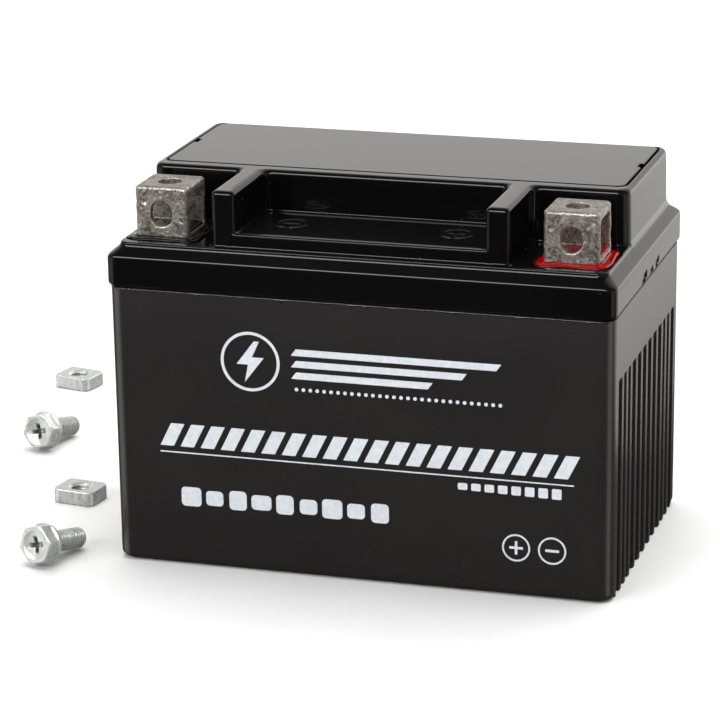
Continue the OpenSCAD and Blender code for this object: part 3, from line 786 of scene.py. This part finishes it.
def cap_ring(z, inset, notch):
    """Outline of the plate at a height. On both ends a notch of that depth is set in beside the wells."""
    half_x, half_y = CAP_HIGH[0], (CAP_HIGH[1] - CAP_LOW[1]) / 2
    notch_y, half_notch = WELL_Y - 4 - CAP_Y, 1.9
    shares = {}
    for back, share in ((0, 0), (0.2, 0.1), (0.3, 1)):
        shares[notch_y - half_notch + back] = share
        shares[notch_y + half_notch - back] = share
    points = []
    for x, y in outline(half_x - inset, half_y - inset, 2, shares):
        pull = notch * shares.get(y, 0) if abs(x) > half_x - inset - 1e-6 else 0
        points.append((x - math.copysign(pull, x), y + CAP_Y, z))
    return points


def make_cap_strip():
    """Plate with two pry notches, six hollow plugs and two bosses for the flame arrestors."""
    thick, notch, notch_z = 1.98, 0.9, TOP - 1.0
    b = Builder()
    rings = [(TOP - thick, 0.1, 0), (TOP - thick + 0.08, 0, 0), (notch_z, 0, 0), (notch_z + 0.02, 0, notch)]
    for down, inset in ((0.3, 0), (0.12, 0.05), (0.03, 0.16), (0, 0.34)):
        rings.append((TOP - down, inset, notch))
    b.loft([cap_ring(*ring) for ring in rings])

    low = CAP_LOW[2]
    plug, plug_bore, plug_tip, seal_groove = 5.42, 3.5, 4.7, 4.35
    groove_low, groove_high = LEDGE - 5.2, LEDGE - 3.9
    plug_profile = [(plug_bore, LEDGE - 0.2), (plug_bore, low), (plug_tip, low), (plug, low + 0.8),
                    (plug, groove_low), (seal_groove, groove_low), (seal_groove, groove_high),
                    (plug, groove_high), (plug, LEDGE + 0.1)]
    for x in CELL_X:
        lathe(b, x, WELL_Y, plug_profile)

    boss, boss_bore, boss_low = 3.7, 2.75, LEDGE - 2.4
    boss_profile = [(boss_bore, LEDGE - 0.1), (boss_bore, boss_low), (boss - 0.2, boss_low),
                    (boss, boss_low + 0.2), (boss, LEDGE + 0.1)]
    for left, right in (CELL_X[:2], CELL_X[-2:]):
        lathe(b, (left + right) / 2, NIPPLE_Y, boss_profile)
    show(b.done("cap_strip_moulding", GLOSS, sharp=35), "cap_strip", "cap_plastic", "cap_strip")


# ---------------------------------------------------------------- bolts and nuts

# M5 thread, and the bolt's flange, shank and head. The nut's half length, half width and height.
PITCH = 0.8
THREAD_R = 2.45
FLANGE_R = 4.7
SHANK = 12
HEAD_Z = 3.8
NUT_X, NUT_Y, NUT_Z = 5.17, 4.22, 3.4
GRAIN = 0.11                        # step of the grids for bolts and nuts

# Where each bolt lies and how far it and each nut are turned, in degrees.
BOLTS = [("terminal_bolt_1", (-70.5, -41.5), -18), ("terminal_bolt_2", (-100.5, 32.5), -12)]
NUTS = [("terminal_nut_1", -8), ("terminal_nut_2", -12)]


def tooth(g):
    """0 on the crest of a right-hand thread about the Z axis, 1 at its root."""
    turn = np.arctan2(g.y, g.x) / (2 * math.pi)
    phase = (g.z / PITCH - turn) % 1.0
    return np.clip(np.abs(phase - 0.5) * 2.6 - 0.15, 0, 1)


def hexagon(g, half):
    """Distance to an upright hexagon prism from the half of its width across the flats."""
    angles = [math.radians(a) for a in (30, 90, 150)]
    sides = [np.abs(g.x * math.cos(a) + g.y * math.sin(a)) for a in angles]
    return np.maximum(np.maximum(sides[0], sides[1]), sides[2]) - half


def bolt_field(g):
    """Flanged hexagon bolt, head up: thread, flange, chamfered head, dished top and cross recess."""
    thread_depth, flange_thick, flange_fall, half_hexagon = 0.36, 0.75, 0.3, 4.0
    r = np.hypot(g.x, g.y)
    tip = np.minimum(THREAD_R, 1.75 + 0.9 * (g.z + SHANK))
    thread = (r - np.minimum(tip, THREAD_R - thread_depth * tooth(g))) * 0.75
    shank = meet(thread, between(g.z, -SHANK, 0.5), 0.12)
    flange_top = flange_thick + flange_fall * (FLANGE_R - r)
    flange = meet(r - FLANGE_R, np.maximum(-g.z, g.z - flange_top), 0.2)
    head = meet(hexagon(g, half_hexagon), between(g.z, 0.4, HEAD_Z), 0.22)
    chamfer = (r + 1.2 * (g.z - HEAD_Z) - 4.1) * 0.7
    body = join(join(flange, meet(head, chamfer, 0.15), 0.35), shank, 0.25)

    dish, ball = 3.25, 9.15
    bowl = np.sqrt(r ** 2 + (g.z - HEAD_Z - 8.5) ** 2) - ball
    body = cut(body, meet(r - dish, bowl, 0.2), 0.15)
    bottom, half_length, half_width = 1.7, 1.15, 0.3
    up = np.clip(g.z - bottom, 0, 3)
    for u, v in ((g.x, g.y), (g.y, g.x)):
        slot = np.maximum(np.abs(u) - half_length - 0.5 * up, np.abs(v) - half_width - 0.14 * up)
        body = cut(body, meet(slot * 0.85, bottom - g.z, 0.1), 0.12)
    return body + 0.012 * ripple(g, 1.6, 51)


def nut_field(g):
    """Oblong nut with rounded corners, a threaded bore and a chamfer at each mouth."""
    root, thread_depth, mouth = 2.1, 0.36, 2.85
    r = np.hypot(g.x, g.y)
    body = meet(rect(g.x, g.y, NUT_X, NUT_Y, 1.5), between(g.z, 0, NUT_Z), 0.32)
    bore = (r - root - thread_depth * (1 - tooth(g))) * 0.75
    mouths = (np.minimum(r + NUT_Z - g.z, r + g.z) - mouth) * 0.7
    return cut(body, np.minimum(bore, mouths), 0.12) + 0.02 * ripple(g, 1.8, 52)


def lay_down(node, pattern, position):
    """A copy of the pattern's mesh, moved into position, stands for that CAD node."""
    mesh = pattern.data.copy()
    mesh.transform(position)
    piece = bpy.data.objects.new(node.replace("terminal_", "loose_"), mesh)
    bpy.context.scene.collection.objects.link(piece)
    show(piece, node, "zinc", node)


def make_hardware():
    """The two bolts lie on the flange of the head and the end of the thread, the nuts lie flat."""
    g = Grid((-FLANGE_R, -FLANGE_R, -SHANK), (FLANGE_R, FLANGE_R, HEAD_Z), GRAIN)
    bolt = skin("bolt", g, bolt_field(g), ZINC)
    g = Grid((-NUT_X - 0.03, -NUT_Y - 0.03, 0), (NUT_X + 0.03, NUT_Y + 0.03, NUT_Z), GRAIN)
    nut = skin("nut", g, nut_field(g), NUT_ZINC)

    tilt = math.atan((FLANGE_R - THREAD_R) / SHANK)
    height = 0.06 + FLANGE_R * math.cos(tilt)
    roll = Matrix.Rotation(math.radians(15), 4, "Z")
    for node, (x, y), turn in BOLTS:
        lay_down(node, bolt, Matrix.Translation(Vector((x, y, height)) * MM)
                 @ Matrix.Rotation(math.radians(turn), 4, "Z")
                 @ Matrix.Rotation(math.radians(90) - tilt, 4, "X") @ roll)
    for node, turn in NUTS:
        low, high = span(node)
        middle = Vector(((low[0] + high[0]) / 2, (low[1] + high[1]) / 2, low[2] + 0.02))
        lay_down(node, nut, Matrix.Translation(middle * MM) @ Matrix.Rotation(math.radians(turn), 4, "Z"))
    for pattern in (bolt, nut):
        bpy.data.objects.remove(pattern)


# ---------------------------------------------------------------- print on the front

def slab(b, outer, inner=None, thick=0.05):
    """Thin printed shape on the front wall, from points in X and Z, with an optional hole."""
    back, face = CASE_FRONT + 0.02, CASE_FRONT - thick
    loops = [outer] + ([inner] if inner else [])
    fronts, backs = [], []
    for loop in loops:
        fronts.append(b.ring([(x, face, z) for x, z in loop]))
        backs.append(b.ring([(x, back, z) for x, z in loop]))
        b.bridge(fronts[-1], backs[-1])
    b.fill(fronts)
    b.fill(backs, flip=True)


def bar(x, z, width, height, slant=0.0, radius=0.0):
    """Corners of a bar about its middle, leaning to the right by slant, or with rounded corners."""
    if radius:
        return [(x + u, z + v) for u, v in outline(width / 2, height / 2, radius, steps=4)]
    u, v = width / 2, height / 2
    return [(x + u + slant, z + v), (x - u + slant, z + v), (x - u - slant, z - v), (x + u - slant, z - v)]


def round_points(x, z, radius, count=48):
    """Points on a circle."""
    turns = [2 * math.pi * k / count for k in range(count)]
    return [(x + radius * math.cos(t), z + radius * math.sin(t)) for t in turns]


def print_emblem(b):
    """A ring round a flash, with three stripes and a dotted line beside it."""
    x, z, radius, line = -23.8, 48.4, 6.7, 0.65
    slab(b, round_points(x, z, radius), round_points(x, z, radius - line))
    flash = [(0.9, 4.6), (-3.1, -0.7), (-0.5, -0.7), (-1.3, -4.7), (3.1, 1.0), (0.4, 1.0), (2.1, 4.6)]
    slab(b, [(x + u, z + v) for u, v in flash])
    stripe_x, stripe_z, stripe_gap = -14, 51.2, 2.6
    for k, width in enumerate((45.5, 38.0, 30.5)):
        slab(b, bar(stripe_x + width / 2, stripe_z - stripe_gap * k, width, 1.5, slant=0.55))
    dot, dot_x, dot_z, dot_step = 0.8, -13.4, 42.9, 1.56
    for k in range(30):
        slab(b, bar(dot_x + dot_step * k, dot_z, dot, dot, radius=0.35))


def print_band(b):
    """A band of slanted blocks over a thin line, with eight small blocks under its right end."""
    band_x, band_z, band_step = -42.2, 30.3, 4.66
    for k in range(20):
        slab(b, bar(band_x + band_step * k, band_z, 3.1, 5.2, slant=1.3))
    slab(b, bar(1.4, 26.3, 93, 0.28))
    small_x, small_z, small_step, growth = 23.5, 24.1, 2.95, 0.12
    for k in range(8):
        slab(b, bar(small_x + small_step * k, small_z, 2.1, 1.5 + growth * k, radius=0.3))


def print_blocks(b):
    """A row of nine blank blocks of mixed sizes."""
    first_x, z, step = -38.2, 16.2, 5.4
    for k in range(9):
        width = 4.0 if k % 3 else 4.6
        height = 3.4 if k % 2 else 4.4
        slab(b, bar(first_x + step * k, z, width, height, radius=0.9))


def print_signs(b):
    """A plus and a minus, each in a ring."""
    z, radius, line = 11.2, 3.1, 0.4
    half, arm = 0.28, 1.5
    plus = [(arm, half), (half, half), (half, arm), (-half, arm), (-half, half), (-arm, half),
            (-arm, -half), (-half, -half), (-half, -arm), (half, -arm), (half, -half), (arm, -half)]
    minus = bar(0, 0, 2 * arm, 2 * half)
    for x, sign in ((35.3, plus), (43.2, minus)):
        slab(b, round_points(x, z, radius, 36), round_points(x, z, radius - line, 36))
        slab(b, [(x + u, z + v) for u, v in sign])


def make_print():
    b = Builder()
    print_emblem(b)
    print_band(b)
    print_blocks(b)
    print_signs(b)
    show(b.done("front_print", INK), "battery", "case_plastic")


# ---------------------------------------------------------------- camera, floor and light

def make_camera():
    """Placed where a perspective fit of the battery's known size puts the photographer."""
    position = (0.18941, -0.65006, 0.25019)
    azimuth, elevation, roll = [math.radians(a) for a in (17.025, 17.226, -0.826)]
    sensor_mm, focal_over_width = 36, 4.38806
    back = Vector((math.sin(azimuth) * math.cos(elevation), -math.cos(azimuth) * math.cos(elevation),
                   math.sin(elevation)))
    level = Vector((math.cos(azimuth), math.sin(azimuth), 0))
    upright = back.cross(level)
    right = math.cos(roll) * level + math.sin(roll) * upright
    up = math.cos(roll) * upright - math.sin(roll) * level
    data = bpy.data.cameras.new("camera")
    data.sensor_width = sensor_mm
    data.lens = focal_over_width * sensor_mm
    data.clip_start, data.clip_end = 0.01, 20
    camera = bpy.data.objects.new("camera", data)
    bpy.context.scene.collection.objects.link(camera)
    camera.matrix_world = Matrix.Translation(position) @ Matrix((right, up, back)).transposed().to_4x4()
    bpy.context.scene.camera = camera


def make_floor():
    half = 3000
    b = Builder()
    b.bm.faces.new(b.ring([(-half, -half, 0), (half, -half, 0), (half, half, 0), (-half, half, 0)]))
    floor = b.done("floor", plain("pale_floor", (0.8, 0.8, 0.8), (0.83, 0.83, 0.83), 0.7, 40, 0.01))
    floor.visible_glossy = False


def area_light(name, location, target, size, power, colour=(1, 1, 1), mirrored=True):
    """Softbox that isn't seen by the camera. One that isn't mirrored only lights matt surfaces."""
    data = bpy.data.lights.new(name, "AREA")
    data.shape = "RECTANGLE"
    data.size, data.size_y = size
    data.energy = power
    data.color = colour
    lamp = bpy.data.objects.new(name, data)
    bpy.context.scene.collection.objects.link(lamp)
    lamp.location = location
    lamp.rotation_euler = (Vector(target) - Vector(location)).to_track_quat("-Z", "Y").to_euler()
    lamp.visible_camera = False
    lamp.visible_glossy = mirrored
    return lamp


def make_sky():
    """What the battery mirrors: a bright backdrop behind, a dim band in front, a glow low at both sides."""
    world = bpy.data.worlds.new("studio")
    bpy.context.scene.world = world
    world.use_nodes = True
    tree = world.node_tree
    split = tree.nodes.new("ShaderNodeSeparateXYZ")
    tree.links.new(tree.nodes.new("ShaderNodeTexCoord").outputs["Generated"], split.inputs[0])
    x, y, z = split.outputs

    def band(value, low, high, to_low, to_high):
        """Smooth change of brightness along one axis of the direction looked in."""
        ramp = tree.nodes.new("ShaderNodeMapRange")
        ramp.interpolation_type = "SMOOTHSTEP"
        for socket, number in zip(RANGE_SOCKETS, (low, high, to_low, to_high)):
            ramp.inputs[socket].default_value = number
        tree.links.new(value, ramp.inputs["Value"])
        return ramp.outputs["Result"]

    def combine(operation, a, b):
        node = tree.nodes.new("ShaderNodeMath")
        node.operation = operation
        tree.links.new(a, node.inputs[0])
        tree.links.new(b, node.inputs[1])
        return node.outputs[0]

    backdrop = combine("MULTIPLY", band(y, 0.1, 0.65, 0.0, 1.22), band(z, -0.27, -0.05, 0.08, 1.0))
    height = combine("MULTIPLY", band(z, -0.05, 0.5, 0.05, 0.4), band(z, 0.6, 0.85, 1.0, 0.3))
    front = combine("MULTIPLY", band(y, -0.1, 0.4, 1.0, 0.0), height)
    both_sides = combine("ADD", band(x, 0.76, 0.93, 0.0, 1.0), band(x, -0.8, -0.55, 1.0, 0.0))
    low_sides = combine("MULTIPLY", both_sides, band(z, -0.1, 0.3, 0.9, 0.0))
    side_floor = combine("MULTIPLY", low_sides, band(y, -0.1, 0.3, 1.0, 0.0))
    strength = combine("ADD", combine("ADD", backdrop, front), side_floor)
    background = tree.nodes["Background"]
    warm_white = (1, 0.98, 0.968, 1)
    background.inputs["Color"].default_value = warm_white
    tree.links.new(strength, background.inputs["Strength"])


def make_light():
    """Soft light from above and in front, a pale card behind, and a strip that is only seen mirrored."""
    make_sky()
    area_light("top_softbox", (0.2, 0.2, 1.5), (0, 0, 0), size=(1.8, 1.8), power=35, mirrored=False)
    area_light("front_fill", (-0.6, -1.1, 0.7), (0, 0, 0.05), size=(0.7, 0.5), power=8, mirrored=False)
    area_light("floor_card", (0.59, 1.03, 0.001), (0.59, 1.03, 1), size=(1.02, 1.94), power=5.3,
               colour=(1, 0.975, 0.955))
    strip = area_light("front_strip", (-0.42, -1.15, 0.92), (0, 0, 0.06), size=(1.6, 0.42), power=26)
    strip.visible_diffuse = False


# ---------------------------------------------------------------- CAD nodes that stay, with their materials

def dress():
    """Gives each visible CAD node the material of the first start that fits its name."""
    lead_grey = plain("strap_lead", (0.16, 0.16, 0.16), (0.36, 0.36, 0.35), 0.45, 2.5, 0.03, metallic=0.8)
    rubber = plain("seal_rubber", (0.012, 0.012, 0.012), (0.022, 0.022, 0.022), 0.6, 1.2, 0.01)
    valve = plain("valve_rubber", (0.02, 0.019, 0.018), (0.035, 0.033, 0.03), 0.65, 1.0, 0.01)
    ceramic = plain("ceramic", (0.6, 0.58, 0.54), (0.78, 0.76, 0.71), 0.85, 0.5, 0.05)
    brown = plain("positive_paste", (0.06, 0.03, 0.018), (0.12, 0.06, 0.036), 0.8, 3.0, 0.08)
    grey = plain("negative_paste", (0.12, 0.125, 0.13), (0.23, 0.235, 0.24), 0.7, 3.0, 0.08)
    mat = plain("glass_mat", (0.66, 0.65, 0.62), (0.84, 0.83, 0.8), 0.9, 0.8, 0.04, stretch=(1, 3, 1))
    starts = {"positive_plates": brown, "negative_plates": grey, "separators": mat,
              "relief_valve": valve, "flame_arrestors": ceramic, "plug_seals": rubber,
              "negative_post_gasket": rubber, "positive_post_gasket": rubber,
              "cell_link": lead_grey, "negative_end_strap": lead_grey, "positive_end_strap": lead_grey,
              "negative_post": lead_grey, "positive_post": lead_grey}
    for name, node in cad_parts.items():
        if node.hide_render:
            continue
        material = next(starts[start] for start in starts if name.startswith(start))
        for slot in node.material_slots:
            slot.material = material


bpy.context.scene.view_settings.view_transform = "Standard"
make_camera()
make_floor()
make_light()
make_case()
make_cover()
make_cap_strip()
make_terminal(-1, "negative_terminal", 11)
make_terminal(1, "positive_terminal", 12)
make_resin(-1, "negative_post_seal", BLACK, "black_resin", 21)
make_resin(1, "positive_post_seal", RED, "red_resin", 22)
make_weld_flash()
make_print()
make_hardware()
dress()
